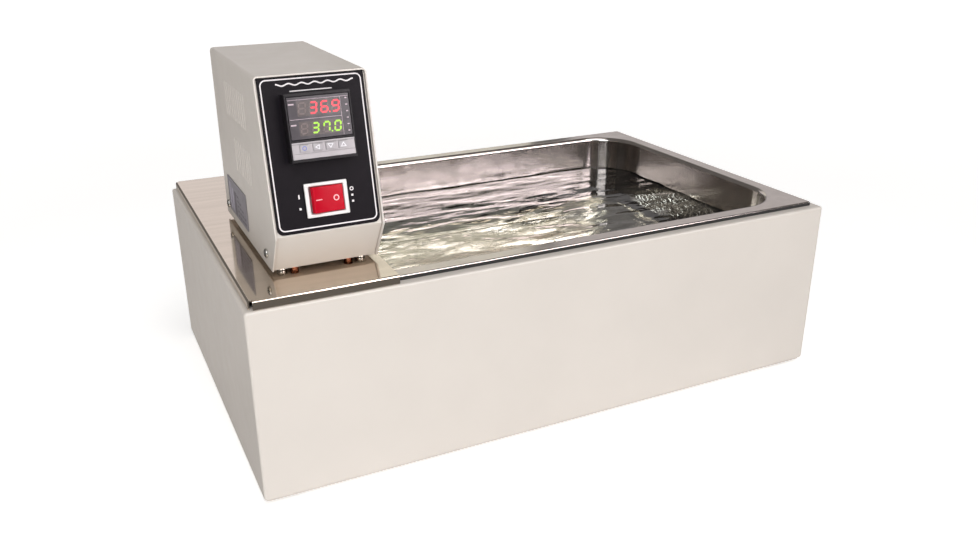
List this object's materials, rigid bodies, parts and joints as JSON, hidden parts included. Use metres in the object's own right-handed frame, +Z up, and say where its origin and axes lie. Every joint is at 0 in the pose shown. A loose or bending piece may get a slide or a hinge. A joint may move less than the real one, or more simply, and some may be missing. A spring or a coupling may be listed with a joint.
{
  "type": "laboratory water bath",
  "caption": "Rectangular laboratory water bath: painted steel case, stainless pan, and a lift-off control head with temperature controller, rocker switch, heater and stirrer.",
  "frame": {"origin": "on the table under the middle of the case", "axes": "+X to the right along the case, -Y out of the front with the controls, +Z up"},
  "size_m": [0.543, 0.341, 0.3217],
  "materials": {
    "case_paint": "warm off-white baked enamel, satin",
    "stainless": "polished stainless steel with faint drawing marks",
    "plated_steel": "zinc plated",
    "copper": "bright copper tube",
    "brass": "machined brass",
    "rubber": "moulded black rubber",
    "wool": "mineral wool blanket",
    "label": "printed satin black film",
    "foil": "silvery printed foil",
    "black_plastic": "fine grained black plastic",
    "display": "dark tinted display window",
    "silver_plastic": "silver painted plastic",
    "key_plastic": "light grey plastic",
    "white_plastic": "glossy white plastic",
    "red_plastic": "glossy translucent red plastic",
    "motor_steel": "dull drawn steel can",
    "terminal_plastic": "cream moulded plastic"
  },
  "bodies": {
    "bath": {"outer_case": "case_paint", "base_panel": "case_paint", "foot_front_left": "rubber", "foot_front_right": "rubber", "foot_back_left": "rubber", "foot_back_right": "rubber", "foot_screw_front_left": "plated_steel", "foot_screw_front_right": "plated_steel", "foot_screw_back_left": "plated_steel", "foot_screw_back_right": "plated_steel", "bath_tank": "stainless", "tank_gasket": "rubber", "side_insulation": "wool", "bottom_insulation": "wool"},
    "control_head": {"deck_plate": "stainless", "standoff_front_left": "plated_steel", "standoff_front_right": "plated_steel", "standoff_back_left": "plated_steel", "standoff_back_right": "plated_steel", "standoff_nut_front_left": "plated_steel", "standoff_nut_front_right": "plated_steel", "standoff_nut_back_left": "plated_steel", "standoff_nut_back_right": "plated_steel", "standoff_screw_front_left": "plated_steel", "standoff_screw_front_right": "plated_steel", "standoff_screw_back_left": "plated_steel", "standoff_screw_back_right": "plated_steel", "head_shell": "case_paint", "head_chassis": "case_paint", "rear_panel": "case_paint", "shell_screw_front_left": "plated_steel", "shell_screw_front_right": "plated_steel", "shell_screw_back_left": "plated_steel", "shell_screw_back_right": "plated_steel", "rating_label": "foil", "control_label": "label", "controller_bezel": "black_plastic", "controller_window": "display", "controller_key_strip": "silver_plastic", "controller_housing": "black_plastic", "controller_clamp": "black_plastic", "switch_housing": "white_plastic", "heater_element": "copper", "heater_nut_left": "brass", "heater_nut_right": "brass", "temperature_probe": "stainless", "probe_gland": "brass", "stirrer_motor": "motor_steel", "power_inlet": "black_plastic", "fuse_holder": "black_plastic", "heater_relay": "black_plastic", "terminal_block": "terminal_plastic"},
    "rocker": {"switch_rocker": "red_plastic"},
    "key_set": {"key_set": "key_plastic"},
    "key_shift": {"key_shift": "key_plastic"},
    "key_down": {"key_down": "key_plastic"},
    "key_up": {"key_up": "key_plastic"},
    "stirrer": {"stirrer_shaft": "stainless", "stirrer_impeller": "stainless"}
  },
  "joints": [
    {"name": "head_lift", "type": "slide", "parent": "bath", "child": "control_head", "axis": [0, 0, 1], "range_m": [0, 0.14]},
    {"name": "rocker_pivot", "type": "hinge", "parent": "control_head", "child": "rocker", "pos_m": [-0.1987, -0.142, 0.23255], "axis": [0, 0.2167, 0.9762], "range_deg": [0, 18]},
    {"name": "key_set_press", "type": "slide", "parent": "control_head", "child": "key_set", "axis": [0, 0.9762, -0.2167], "range_m": [0, 0.0005], "stiffness_N_per_m": 1000},
    {"name": "key_shift_press", "type": "slide", "parent": "control_head", "child": "key_shift", "axis": [0, 0.9762, -0.2167], "range_m": [0, 0.0005], "stiffness_N_per_m": 1000},
    {"name": "key_down_press", "type": "slide", "parent": "control_head", "child": "key_down", "axis": [0, 0.9762, -0.2167], "range_m": [0, 0.0005], "stiffness_N_per_m": 1000},
    {"name": "key_up_press", "type": "slide", "parent": "control_head", "child": "key_up", "axis": [0, 0.9762, -0.2167], "range_m": [0, 0.0005], "stiffness_N_per_m": 1000},
    {"name": "stirrer_spin", "type": "hinge", "parent": "control_head", "child": "stirrer", "pos_m": [-0.1987, -0.0445, 0.1], "axis": [0, 0, 1], "continuous": true}
  ]
}
